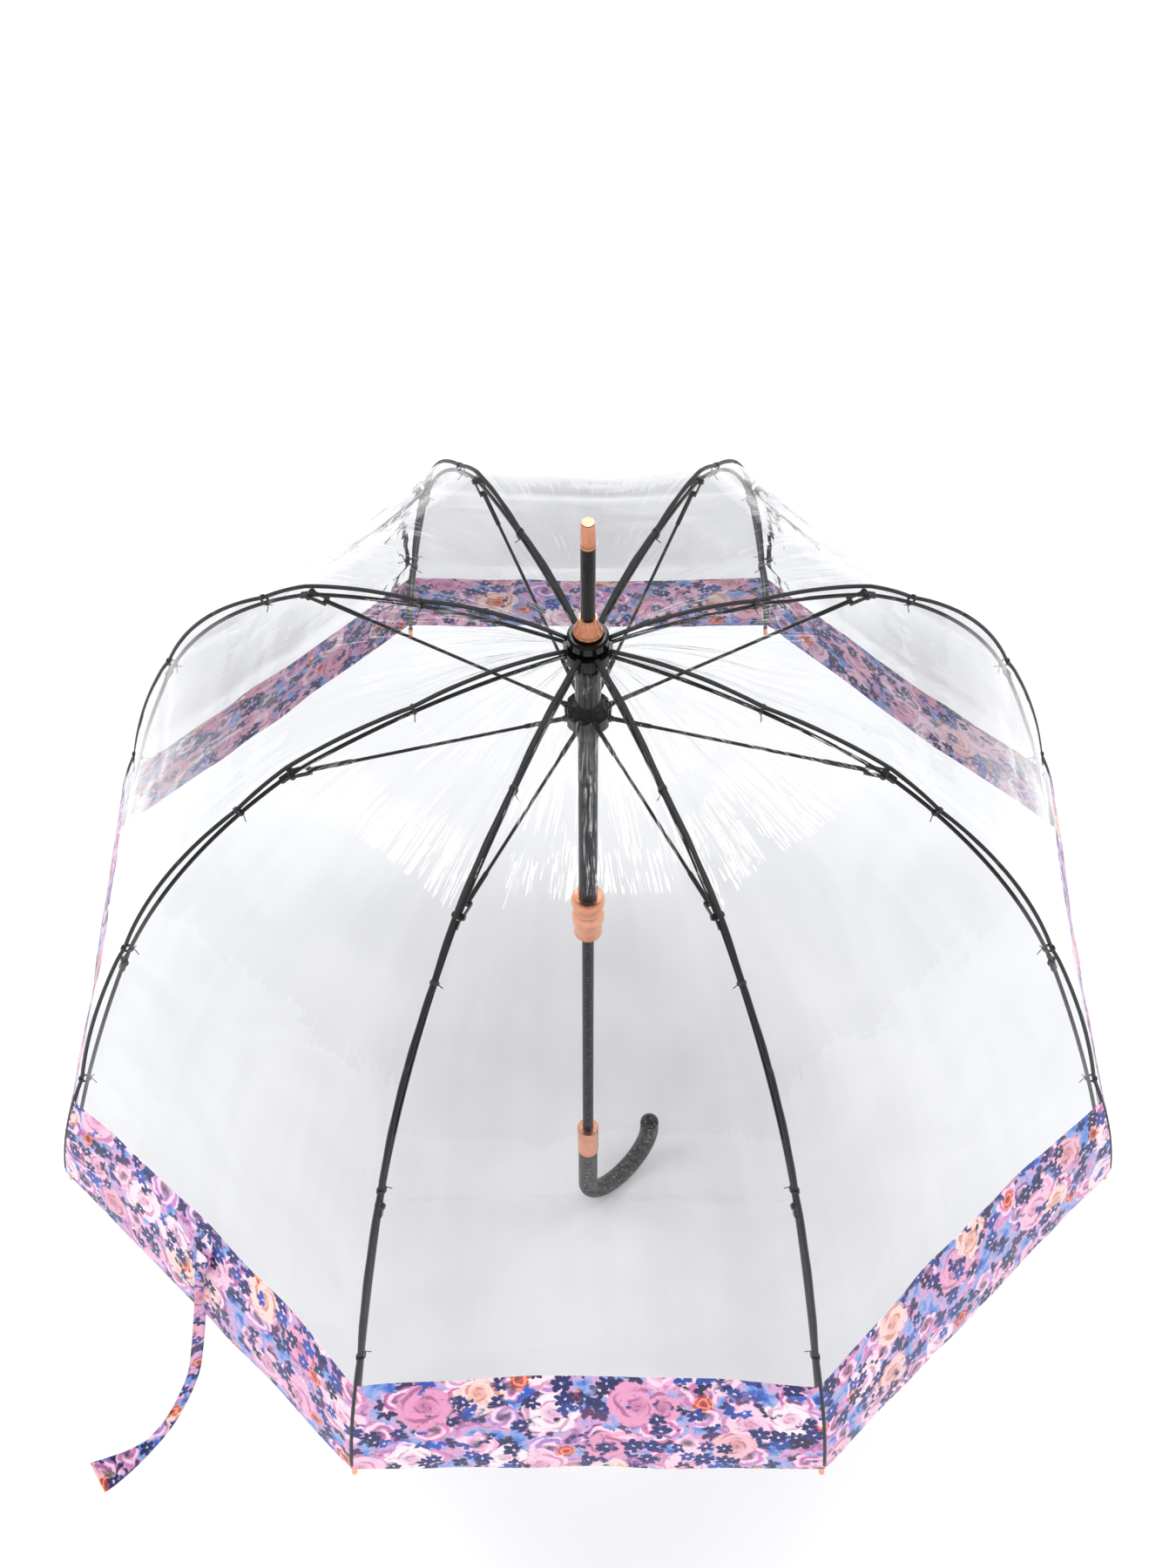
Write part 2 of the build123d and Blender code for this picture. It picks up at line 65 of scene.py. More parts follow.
# The rib line (radius, height) in mm: crown, joint, knee and tip with one point on each arc between.
RIB_LINE = [
    (14.0, 723.0), (114.0, 716.5), (216.326, 690.0), (297.9, 628.2),
    (356.0, 544.0), (403.7, 421.4), (440.0, 295.0),
]
ROLES = ("upper", "middle", "lower")
# For each rib length: which way its half panel moves when it folds, out along the rib's normal and back along
# the chord, and the share of its width that stays.
# and the share of the half width that stays.
FOLD = ((0.268, 0.964, 0.203), (0.502, 0.865, 0.132), (0.579, 0.816, 0.139))


# ---------------------------------------------------------------- geometry helpers
def circle(a, b, c):
    """Centre and radius of the circle through three points."""
    m = np.array([[b[0] - a[0], b[1] - a[1]], [c[0] - b[0], c[1] - b[1]]])
    rhs = np.array([
        (b[0] ** 2 - a[0] ** 2 + b[1] ** 2 - a[1] ** 2) / 2,
        (c[0] ** 2 - b[0] ** 2 + c[1] ** 2 - b[1] ** 2) / 2,
    ])
    centre = np.linalg.solve(m, rhs)
    return centre, math.dist(centre, a)


ARCS = []
for i in (0, 2, 4):
    centre, radius = circle(*RIB_LINE[i:i + 3])
    angles = [math.atan2(p[1] - centre[1], p[0] - centre[0]) for p in (RIB_LINE[i], RIB_LINE[i + 2])]
    ARCS.append((centre, radius, angles[0], angles[1]))


def rib_at(t):
    """Point and outward normal on the rib line; t runs from 0 at the crown to 3 at the tip."""
    i = min(int(t), 2)
    centre, radius, first, last = ARCS[i]
    a = first + (last - first) * (t - i)
    normal = np.array([math.cos(a), math.sin(a)])
    if i < 2 and t - i > 0.9:
        after = ARCS[i + 1]
        other = np.array([math.cos(after[2]), math.sin(after[2])])
        share = (t - i - 0.9) / 0.2
        mixed = normal * (1 - share) + other * share
    elif i > 0 and t - i < 0.1:
        before = ARCS[i - 1]
        other = np.array([math.cos(before[3]), math.sin(before[3])])
        share = 0.5 - (t - i) / 0.2
        mixed = normal * (1 - share) + other * share
    else:
        mixed = normal
    return centre + radius * normal, mixed / np.linalg.norm(mixed)


def t_at_height(z):
    """The place on the lower rib at a height."""
    low, high = 2.0, 3.0
    for _ in range(40):
        mid = (low + high) / 2
        low, high = (mid, high) if rib_at(mid)[0][1] > z else (low, mid)
    return (low + high) / 2


def az(k):
    """Azimuth of rib k, counted from 1."""
    return HALF + (k - 1) * PITCH


def polar(r, z, a):
    return Vector((r * math.cos(a), r * math.sin(a), z)) * MM


def new_object(name, verts, faces, material, smooth=True, closed=False):
    mesh = bpy.data.meshes.new(name)
    mesh.from_pydata([tuple(v) for v in verts], [], faces)
    if closed:
        turned = bmesh.new()
        turned.from_mesh(mesh)
        bmesh.ops.recalc_face_normals(turned, faces=turned.faces)
        turned.to_mesh(mesh)
        turned.free()
    mesh.update()
    if smooth:
        mesh.polygons.foreach_set("use_smooth", [True] * len(mesh.polygons))
    mesh.materials.append(material)
    ob = bpy.data.objects.new(name, mesh)
    bpy.context.scene.collection.objects.link(ob)
    return ob


def grid_faces(rows, cols, wrap=False):
    faces = []
    for i in range(rows - 1):
        for j in range(cols if wrap else cols - 1):
            k = (j + 1) % cols
            faces.append((i * cols + j, (i + 1) * cols + j, (i + 1) * cols + k, i * cols + k))
    return faces


def tube(points, radii, sides=10):
    """Vertices and faces of a round tube along points, closed at both ends."""
    verts, faces = [], []
    count = len(points)
    side = None
    for i, p in enumerate(points):
        along = (points[min(i + 1, count - 1)] - points[max(i - 1, 0)]).normalized()
        if side is None:
            side = along.orthogonal().normalized()
        side = (side - along * side.dot(along)).normalized()
        up = along.cross(side)
        r = radii[i] if isinstance(radii, (list, tuple)) else radii
        for j in range(sides):
            a = 2 * math.pi * j / sides
            verts.append(p + (side * math.cos(a) + up * math.sin(a)) * r)
    faces = grid_faces(count, sides, wrap=True)
    faces.append(tuple(range(sides - 1, -1, -1)))
    faces.append(tuple(range((count - 1) * sides, count * sides)))
    return verts, faces


def merge(parts):
    verts, faces = [], []
    for v, f in parts:
        base = len(verts)
        verts += list(v)
        faces += [tuple(i + base for i in face) for face in f]
    return verts, faces


# ---------------------------------------------------------------- material helpers
def srgb(code):
    """Linear colour from a hex code."""
    out = []
    for i in (0, 2, 4):
        c = int(code[i:i + 2], 16) / 255
        out.append(c / 12.92 if c <= 0.04045 else ((c + 0.055) / 1.055) ** 2.4)
    return (*out, 1.0)


class Nodes:
    """Short calls for building one material's node tree."""

    def __init__(self, name):
        self.mat = bpy.data.materials.new(name)
        self.mat.use_nodes = True
        self.tree = self.mat.node_tree
        self.bsdf = self.tree.nodes["Principled BSDF"]
        self.out = self.tree.nodes["Material Output"]

    def node(self, kind, **settings):
        n = self.tree.nodes.new("ShaderNode" + kind)
        for key, value in settings.items():
            setattr(n, key, value)
        return n

    def put(self, socket, value):
        if hasattr(value, "is_output"):
            self.tree.links.new(value, socket)
        elif value is not None:
            socket.default_value = value

    def math(self, op, a, b=None, c=None, clamp=False):
        n = self.node("Math", operation=op, use_clamp=clamp)
        for socket, value in zip(n.inputs, (a, b, c)):
            self.put(socket, value)
        return n.outputs[0]

    def vector(self, op, a, b=None, scale=None):
        n = self.node("VectorMath", operation=op)
        self.put(n.inputs[0], a)
        self.put(n.inputs[1], b)
        if scale is not None:
            self.put(n.inputs["Scale"], scale)
        return n.outputs["Value"] if op in ("LENGTH", "DOT_PRODUCT") else n.outputs["Vector"]

    def ramp(self, fac, stops, mode="LINEAR"):
        n = self.node("ValToRGB")
        n.color_ramp.interpolation = mode
        while len(n.color_ramp.elements) < len(stops):
            n.color_ramp.elements.new(0.5)
        for e, (pos, colour) in zip(n.color_ramp.elements, stops):
            e.position, e.color = pos, colour
        self.put(n.inputs["Fac"], fac)
        return n.outputs["Color"]

    def mix(self, fac, a, b, blend="MIX"):
        n = self.node("Mix", data_type="RGBA", blend_type=blend)
        self.put(n.inputs[0], fac)
        self.put(n.inputs[6], a)
        self.put(n.inputs[7], b)
        return n.outputs[2]

    def step(self, value, low, high, out_low=0.0, out_high=1.0):
        """Smooth step of a value from low to high."""
        n = self.node("MapRange", interpolation_type="SMOOTHSTEP")
        self.put(n.inputs["Value"], value)
        self.put(n.inputs["From Min"], low)
        self.put(n.inputs["From Max"], high)
        self.put(n.inputs["To Min"], out_low)
        self.put(n.inputs["To Max"], out_high)
        return n.outputs["Result"]

    def noise(self, vector, scale, detail=4.0, rough=0.55, distort=0.0, colour=False):
        n = self.node("TexNoise")
        self.put(n.inputs["Vector"], vector)
        self.put(n.inputs["Scale"], scale)
        n.inputs["Detail"].default_value = detail
        n.inputs["Roughness"].default_value = rough
        n.inputs["Distortion"].default_value = distort
        return n.outputs["Color" if colour else "Fac"]

    def voronoi(self, vector, scale, feature="F1", randomness=1.0, flat=False):
        n = self.node("TexVoronoi", feature=feature)
        if flat:
            n.voronoi_dimensions = "2D"
        self.put(n.inputs["Vector"], vector)
        n.inputs["Scale"].default_value = scale
        n.inputs["Randomness"].default_value = randomness
        return n

    def bump(self, height, strength, distance):
        n = self.node("Bump")
        n.inputs["Strength"].default_value = strength
        n.inputs["Distance"].default_value = distance
        self.put(n.inputs["Height"], height)
        return n.outputs["Normal"]

    def place(self):
        return self.node("TexCoord").outputs["Object"]

    def finish(self, **inputs):
        for key, value in inputs.items():
            self.put(self.bsdf.inputs[key.replace("_", " ")], value)
        return self.mat


def lacquer(name, dark, light, rough, coat, grain):
    """Lacquered metal with fine grain and worn, lighter spots."""
    n = Nodes(name)
    p = n.place()
    fine = n.noise(p, grain, 3)
    broad = n.noise(p, 60, 4)
    colour = n.mix(n.step(broad, 0.45, 0.75), dark, light)
    return n.finish(
        Base_Color=colour, Metallic=0.25, Roughness=n.step(fine, 0.3, 0.7, rough - 0.06, rough + 0.1),
        Coat_Weight=coat, Coat_Roughness=0.12, Specular_IOR_Level=0.3, Normal=n.bump(fine, 0.25, 0.0002),
    )


def hammered(name, dark, mid, light, cell, depth):
    """Dark grey finish with beaten facets and pale speckles."""
    n = Nodes(name)
    p = n.place()
    warped = n.vector("ADD", p, n.vector("SCALE", n.noise(p, 300, 2, colour=True), scale=0.0012))
    cells = n.voronoi(warped, cell)
    spots = n.noise(p, cell * 1.3, 5, 0.7)
    base = n.mix(n.step(cells.outputs["Distance"], 0.15, 0.75), mid, dark)
    colour = n.mix(n.step(spots, 0.54, 0.66), base, light)
    height = n.math("ADD", n.math("MULTIPLY", cells.outputs["Distance"], 0.7), n.math("MULTIPLY", spots, 0.6))
    return n.finish(
        Base_Color=colour, Metallic=0.35, Roughness=n.step(spots, 0.35, 0.7, 0.32, 0.55),
        Specular_IOR_Level=0.3,
        Normal=n.bump(height, 0.7, depth),
    )


def rose_gold():
    n = Nodes("rose_gold")
    p = n.place()
    stretched = n.vector("MULTIPLY", p, (1.0, 1.0, 0.08))
    lines = n.noise(stretched, 900, 3)
    tone = n.noise(p, 45, 3)
    colour = n.mix(n.step(tone, 0.35, 0.7), srgb("E59A78"), srgb("F3B596"))
    return n.finish(
        Base_Color=colour, Metallic=1.0, Roughness=n.step(lines, 0.3, 0.7, 0.2, 0.34),
        Normal=n.bump(lines, 0.12, 0.0001),
    )


def gloss_black():
    n = Nodes("gloss_black")
    p = n.place()
    dust = n.noise(p, 260, 5)
    return n.finish(
        Base_Color=n.mix(n.step(dust, 0.5, 0.8), srgb("0B0B0C"), srgb("1B1B1E")),
        Roughness=n.step(dust, 0.4, 0.7, 0.1, 0.24),
        Coat_Weight=0.12, Specular_IOR_Level=0.25, Normal=n.bump(dust, 0.05, 0.0002),
    )


def spring_steel():
    n = Nodes("spring_steel")
    p = n.place()
    lines = n.noise(n.vector("MULTIPLY", p, (1.0, 1.0, 0.1)), 700, 3)
    return n.finish(
        Base_Color=n.mix(lines, srgb("8E9094"), srgb("C4C6CA")), Metallic=1.0,
        Roughness=n.step(lines, 0.3, 0.7, 0.22, 0.4),
        Normal=n.bump(lines, 0.2, 0.0001),
    )


def clear_film():
    """Thin clear sheet: a faint grey tint, a sharp sheen and creases that fan out from the crown."""
    n = Nodes("clear_film")
    p = n.place()
    lines = n.node("UVMap", uv_map="lines").outputs["UV"]
    xyz = n.node("SeparateXYZ")
    n.put(xyz.inputs[0], lines)
    fan = n.noise(n.vector("MULTIPLY", lines, (9.0, 0.9, 0.0)), 1.0, 3, 0.55, 0.5)
    folds = n.noise(n.vector("MULTIPLY", lines, (26.0, 1.6, 0.0)), 1.0, 2, 0.5, 0.4)
    ripples = n.noise(n.vector("MULTIPLY", p, (1.0, 1.0, 1.6)), 9, 2, 0.45, 1.4)
    upper = n.step(xyz.outputs["Y"], 0.1, 2.0, 1.0, 0.25)
    near_crown = n.step(xyz.outputs["Y"], 0.0, 0.9, 0.5, 0.0)
    height = n.math("ADD", n.math("MULTIPLY", fan, upper), n.math("MULTIPLY", folds, near_crown))
    height = n.math("ADD", height, n.math("MULTIPLY", ripples, 0.30))
    normal = n.bump(height, 0.6, 0.010)
    fresnel = n.node("Fresnel")
    fresnel.inputs["IOR"].default_value = 1.5
    n.put(fresnel.inputs["Normal"], normal)
    clear = n.node("BsdfTransparent")
    facing = n.node("LayerWeight")
    facing.inputs["Blend"].default_value = 0.3
    haze = n.step(n.math("ADD", n.math("MULTIPLY", fan, 0.5), n.math("MULTIPLY", ripples, 0.5)), 0.35, 0.65)
    tint = n.mix(haze, (0.740, 0.747, 0.757, 1), (0.800, 0.806, 0.814, 1))
    tint = n.mix(n.math("MULTIPLY", facing.outputs["Facing"], 0.6), tint, (0.60, 0.61, 0.63, 1))
    n.put(clear.inputs["Color"], tint)
    shine = n.node("BsdfGlossy")
    shine.inputs["Color"].default_value = (1, 1, 1, 1)
    n.put(shine.inputs["Roughness"], n.step(ripples, 0.3, 0.7, 0.03, 0.08))
    n.put(shine.inputs["Normal"], normal)
    both = n.node("MixShader")
    n.put(both.inputs["Fac"], n.math("MULTIPLY", fresnel.outputs["Fac"], 1.1, clamp=True))
    n.put(both.inputs[1], clear.outputs[0])
    n.put(both.inputs[2], shine.outputs[0])
    n.put(n.out.inputs["Surface"], both.outputs[0])
    n.tree.nodes.remove(n.bsdf)
    return n.mat


def woven(name, dark, light, scale):
    """Plain woven tape with a slight sheen."""
    n = Nodes(name)
    p = n.place()
    weave = n.voronoi(p, scale, randomness=0.25)
    wear = n.noise(p, 90, 4)
    colour = n.mix(n.step(weave.outputs["Distance"], 0.2, 0.8), light, dark)
    colour = n.mix(n.step(wear, 0.55, 0.8, 0.0, 0.35), colour, light)
    return n.finish(
        Base_Color=colour, Roughness=0.5, Sheen_Weight=0.05,
        Normal=n.bump(weave.outputs["Distance"], 0.5, 0.0003),
    )


def blossoms(n, place, cell, size, petals, seed, depth=0.45):
    """Petalled shapes scattered on a plane: how far inside each is, its random colour, spiral and radius."""
    at = n.vector("ADD", n.vector("SCALE", place, scale=1.0 / cell), (seed, seed * 0.37, 0.0))
    cells = n.voronoi(at, 1.0, randomness=0.85, flat=True)
    local = n.vector("SUBTRACT", at, cells.outputs["Position"])
    xyz = n.node("SeparateXYZ")
    n.put(xyz.inputs[0], local)
    radius = n.math("DIVIDE", n.vector("LENGTH", local), size / cell)
    pick = n.node("SeparateColor")
    n.put(pick.inputs[0], cells.outputs["Color"])
    turn = n.math(
        "ADD", n.math("ARCTAN2", xyz.outputs["Y"], xyz.outputs["X"]),
        n.math("MULTIPLY", pick.outputs[0], 6.28),
    )
    lobes = n.math("ABSOLUTE", n.math("COSINE", n.math("MULTIPLY", turn, petals / 2)))
    edge = n.math("ADD", n.math("MULTIPLY", lobes, depth), 1.0 - depth)
    edge = n.math("MULTIPLY", edge, n.math("ADD", n.math("MULTIPLY", pick.outputs[2], 0.4), 0.75))
    inside = n.math("DIVIDE", radius, edge)
    return inside, pick, turn, radius


def floral():
    """Printed flowers in pale pink, white, blue, navy and purple, drawn from the sheet's own coordinates."""
    n = Nodes("floral_print")
    uv = n.node("UVMap", uv_map="print").outputs["UV"]
    soft = n.noise(uv, 48, 3, colour=True)
    place = n.vector("ADD", uv, n.vector("SCALE", n.vector("SUBTRACT", soft, (0.5, 0.5, 0.5)), scale=0.014))
    tight = n.vector(
        "SCALE", n.vector("SUBTRACT", n.noise(uv, 190, 2, colour=True), (0.5, 0.5, 0.5)), scale=0.005,
    )
    place_fine = n.vector("ADD", uv, tight)
    paint = n.noise(place_fine, 170, 4, 0.6)

    # Watercolour ground: sky blue, lilac and pink clouds
    ground = n.ramp(n.noise(place, 46, 5, 0.62), [
        (0.28, srgb("2D4CA6")), (0.37, srgb("5580CF")), (0.45, srgb("93B2E2")), (0.50, srgb("BFB9DE")),
        (0.55, srgb("E3B4D2")), (0.62, srgb("C48CC0")), (0.70, srgb("4A3A86")),
    ])

    # Dark petals and leaves between the flowers
    leaf, pick, _, radius = blossoms(n, place_fine, 0.021, 0.0085, 4, 31.7, 0.6)
    dark = n.ramp(pick.outputs[1], [
        (0.0, srgb("1C2A6B")), (0.4, srgb("3A2160")),
        (0.62, srgb("2B4A7E")), (0.85, srgb("6A2C6E")),
    ])
    colour = n.mix(n.step(leaf, 0.75, 1.0, 0.95, 0.0), ground, dark)

    # Mauve and magenta blooms
    bloom, pick, turn, radius = blossoms(n, place, 0.036, 0.0150, 5, 5.3, 0.25)
    swirl = n.math("SINE", n.math("ADD", n.math("MULTIPLY", radius, 13.0), n.math("MULTIPLY", turn, 2.0)))
    shade = n.ramp(pick.outputs[1], [
        (0.0, srgb("A866AE")), (0.4, srgb("E596C2")),
        (0.7, srgb("BC98D6")), (0.9, srgb("F3BBD6")),
    ])
    petal = n.mix(n.step(swirl, -0.7, 0.7), shade, srgb("F6DAE7"))
    petal = n.mix(n.step(radius, 0.08, 0.5, 0.75, 0.0), petal, srgb("4A1F5A"))
    colour = n.mix(n.step(bloom, 0.86, 1.0, 1.0, 0.0), colour, petal)

    # Large pale roses with curled petals
    rose, pick, turn, radius = blossoms(n, place, 0.047, 0.0205, 5, 0.0, 0.14)
    curl = n.math("SINE", n.math("ADD", n.math("MULTIPLY", n.math("SQRT", radius), 22.0), turn))
    fold = n.math("SINE", n.math("ADD", n.math("MULTIPLY", turn, 3.0), n.math("MULTIPLY", radius, 9.0)))
    lines = n.math(
        "ADD",
        n.math("MULTIPLY", curl, n.math("ADD", n.math("MULTIPLY", fold, 0.35), 0.55)),
        n.math("SUBTRACT", paint, 0.5),
    )
    tint = n.ramp(pick.outputs[1], [
        (0.0, srgb("EFC9DD")), (0.35, srgb("F5E9EE")),
        (0.6, srgb("E6ABCB")), (0.85, srgb("F3DAD6")),
    ])
    deep = n.ramp(pick.outputs[1], [
        (0.0, srgb("C4709F")), (0.35, srgb("CF8FB8")),
        (0.6, srgb("A9568F")), (0.85, srgb("D28471")),
    ])
    petal = n.mix(n.step(lines, 0.15, 0.75, 0.0, 0.7), tint, deep)
    petal = n.mix(n.step(radius, 0.05, 0.5, 0.5, 0.0), petal, deep)
    colour = n.mix(n.step(rose, 0.9, 1.0, 1.0, 0.0), colour, petal)

    # A few red and orange accents
    spot, pick, turn, radius = blossoms(n, place, 0.075, 0.0090, 6, 17.1, 0.4)
    swirl_bands = n.math("SINE", n.math("MULTIPLY", radius, 16.0))
    warm = n.mix(n.step(swirl_bands, -0.5, 0.5), srgb("CF3A3A"), srgb("F0A873"))
    warm = n.mix(n.step(radius, 0.1, 0.3, 0.9, 0.0), warm, srgb("3A1A2E"))
    colour = n.mix(n.step(spot, 0.8, 1.0, 0.9, 0.0), colour, warm)

    # Clusters of small navy and light blue flowers
    cluster = n.step(n.noise(place, 30, 2), 0.47, 0.52)
    small, pick, turn, radius = blossoms(n, place_fine, 0.0165, 0.0084, 6, 9.9, 0.45)
    blue = n.ramp(pick.outputs[1], [
        (0.0, srgb("14246E")), (0.5, srgb("23378C")),
        (0.75, srgb("3F6CC8")), (0.9, srgb("33205F")),
    ])
    blue = n.mix(n.step(radius, 0.10, 0.2, 0.9, 0.0), blue, srgb("E9DDF0"))
    colour = n.mix(n.math("MULTIPLY", n.step(small, 0.85, 1.0, 1.0, 0.0), cluster), colour, blue)

    # Brush grain, hem and its stitches
    colour = n.mix(n.step(paint, 0.55, 0.8, 0.0, 0.3), colour, srgb("E9D8E6"))
    colour = n.mix(n.step(paint, 0.25, 0.45, 0.45, 0.0), colour, srgb("2A2450"))
    fine = n.noise(uv, 1500, 2)
    xyz = n.node("SeparateXYZ")
    n.put(xyz.inputs[0], uv)
    hem = n.step(n.math("ABSOLUTE", n.math("SUBTRACT", xyz.outputs["Y"], 0.0065)), 0.0002, 0.0006, 1.0, 0.0)
    dash = n.step(n.math("SINE", n.math("MULTIPLY", xyz.outputs["X"], 2100.0)), -0.2, 0.2)
    colour = n.mix(n.math("MULTIPLY", n.math("MULTIPLY", hem, dash), 0.4), colour, srgb("F6E9F2"))
    colour = n.mix(0.55, colour, n.vector("MULTIPLY", colour, colour))
    height = n.math(
        "SUBTRACT", n.math("ADD", n.math("MULTIPLY", fine, 0.2), n.noise(uv, 26, 2)),
        n.math("MULTIPLY", hem, 0.5),
    )
    return n.finish(
        Base_Color=colour, Roughness=0.38, Specular_IOR_Level=0.4, Normal=n.bump(height, 0.35, 0.0015),
    )


BLACK_WIRE = lacquer("black_wire", srgb("050506"), srgb("101112"), 0.36, 0.35, 700)
SHAFT_GREY = hammered("hammered_grey", srgb("151618"), srgb("292B2E"), srgb("74767C"), 420, 0.0004)
HANDLE_GREY = hammered("handle_grey", srgb("262524"), srgb("484543"), srgb("A29E99"), 300, 0.0007)
ROSE = rose_gold()
GLOSS = gloss_black()
STEEL = spring_steel()
FILM = clear_film()
PRINT = floral()
TAPE = woven("seam_binding", srgb("0C0D0E"), srgb("1E2022"), 1500)
THREAD = woven("tie_thread", srgb("1A1B1C"), srgb("44464A"), 2600)

# ------------------------------------------------ CAD nodes keep their shape and get their finish
FINISH = {
    "shaft": SHAFT_GREY, "runner_tube": SHAFT_GREY, "crook_handle": HANDLE_GREY,
    "handle_ring": ROSE, "ferrule_tip": ROSE,
    "cap_cone": ROSE, "grip_collar": ROSE, "ferrule_tube": GLOSS, "cap_washer": GLOSS,
    "crown": GLOSS, "runner_head": GLOSS,
    "crown_wire": STEEL, "runner_wire": STEEL, "top_catch": STEEL, "bottom_catch": STEEL,
}
for name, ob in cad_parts.items():
    finish = FINISH.get(name)
    if finish is None and name.startswith("rib_"):
        finish = ROSE if name.endswith("_tip") else BLACK_WIRE
    if finish is None:
        continue
    for place in ob.material_slots:
        place.material = finish

# ---------------------------------------------------------------- canopy sheet
BORDER_TOP = t_at_height(RIM_Z + 97.0)
BORDER_LOW = t_at_height(RIM_Z + 4.0)
FILM_END = t_at_height(RIM_Z + 88.0)
START_R = 9.0


# Where the binding is tied to the ribs; the film stands a little further off between ties
TIES = ((0.55, "upper"), (1.22, "middle"), (1.93, "middle"), (2.52, "lower"))
HELD = [0.02] + [t for t, _ in TIES] + [2.98]


def stand_off(t):
    """Distance from the rib line to the film, in mm."""
    for a, b in zip(HELD, HELD[1:]):
        if a <= t <= b:
            return 4.6 + min(3.6, 9.0 * (b - a)) * math.sin(math.pi * (t - a) / (b - a)) ** 0.8
    return 4.6


def ripple(x, y, z, seed):
    return noise.noise(Vector((x, y, z + seed * 7.31)))


def sheet_point(panel, t, v, gap):
    """Point on the canopy: t along the ribs, v across the panel from -1 to 1, gap outside the rib line."""
    (r, z), (nr, nz) = rib_at(max(t, 0.0))
    if t < 0:
        r += t * (14.0 - START_R)
    rest = max(0.0, 1 - v * v)
    along = t / 3.0
    # Slight inward sag between ribs, most below the knee
    sag = (1.5 + 6.5 * math.sin(math.pi * min(1.0, along * 1.02)) ** 1.5) * rest
    # Gathers that fan out from the crown
    pleat = 1.5 * math.exp(-max(0.0, r - 12) / 60.0) * math.sin(v * 8.5 + panel * 2.1) * min(1.0, 4 * rest)
    pleat *= min(1.0, max(0.0, (r - 16) / 15.0))
    # Tension ripples that run away from the ribs at the shoulder
    shoulder = math.exp(-((t - 1.15) / 0.5) ** 2)
    pull = ripple(v * 1.3, t * 13.0, 3.0, panel) * 1.3 * shoulder * min(1.0, 3 * rest)
    # Long soft waves down the sides
    wave = ripple(v * 3.2, t * 1.1, 8.0, panel) * 2.6 * rest * min(1.0, along * 2.2)
    small = ripple(v * 8.0, t * 3.0, 1.0, panel) * 0.5 * rest
    gap += stand_off(t)
    lift = gap - sag + pleat + pull + wave + small
    half = r * math.sin(HALF)
    x = r * math.cos(HALF) + lift * nr * (math.cos(HALF) if abs(v) > 0.999 else 1.0)
    y = v * (half + gap * nr * math.sin(HALF))
    up = z + lift * nz
    a = az(panel) + HALF
    return np.array([x * math.cos(a) - y * math.sin(a), x * math.sin(a) + y * math.cos(a), up]) * MM


def sheet_grid(panel, rows, cols, gap):
    """Points and normals of a panel; rows is a function of v giving the t values."""
    vs = np.linspace(-1, 1, cols)
    points = np.array([[sheet_point(panel, t, v, gap) for v, t in zip(vs, line)] for line in rows(vs)])
    down = np.gradient(points, axis=0)
    across = np.gradient(points, axis=1)
    normals = np.cross(down, across)
    normals /= np.linalg.norm(normals, axis=2, keepdims=True)
    outward = points * np.array([1, 1, 0]) + np.array([0, 0, 0.2])
    if (normals * outward).sum() < 0:
        normals = -normals
    return vs, points, normals


def fold_axis(rib, side, role):
    """Direction in which a half panel beside a rib gathers when that rib length folds in."""
    out, back, keep = FOLD[role]
    start, end = RIB_LINE[2 * role], RIB_LINE[2 * role + 2]
    chord = np.array([end[0] - start[0], end[1] - start[1]])
    chord /= np.linalg.norm(chord)
    q = np.array([-chord[1], chord[0]])
    a = az(rib)
    m = np.array([math.cos(a), math.sin(a)])
    t = np.array([-math.sin(a), math.cos(a)]) * side
    axis = np.array([*(out * q[0] * m - back * t), out * q[1]])
    mid = rib_at(role + 0.35)[0]
    return axis, polar(mid[0], mid[1], a), keep


def place_half(ob, rib, side, role):
    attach(ob, f"rib_{rib}_{ROLES[role]}")
    axis, anchor, keep = fold_axis(rib, side, role)
    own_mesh(ob)


def sheet_piece(name, points, normals, rows, cols, material, uv, layer):
    """One part of a panel's grid as its own mesh, shaded with the whole panel's normals."""
    block = points[rows[0]:rows[1] + 1, cols[0]:cols[1] + 1]
    shade = normals[rows[0]:rows[1] + 1, cols[0]:cols[1] + 1]
    count = block.shape[:2]
    ob = new_object(name, block.reshape(-1, 3), grid_faces(*count), material)
    mesh = ob.data
    part = uv[rows[0]:rows[1] + 1, cols[0]:cols[1] + 1].reshape(-1, 2)
    index = np.zeros(len(mesh.loops), np.int32)
    mesh.loops.foreach_get("vertex_index", index)
    mesh.uv_layers.new(name=layer).data.foreach_set("uv", part[index].astype(np.float32).ravel())
    mesh.normals_split_custom_set_from_vertices([tuple(v) for v in shade.reshape(-1, 3)])
    return ob


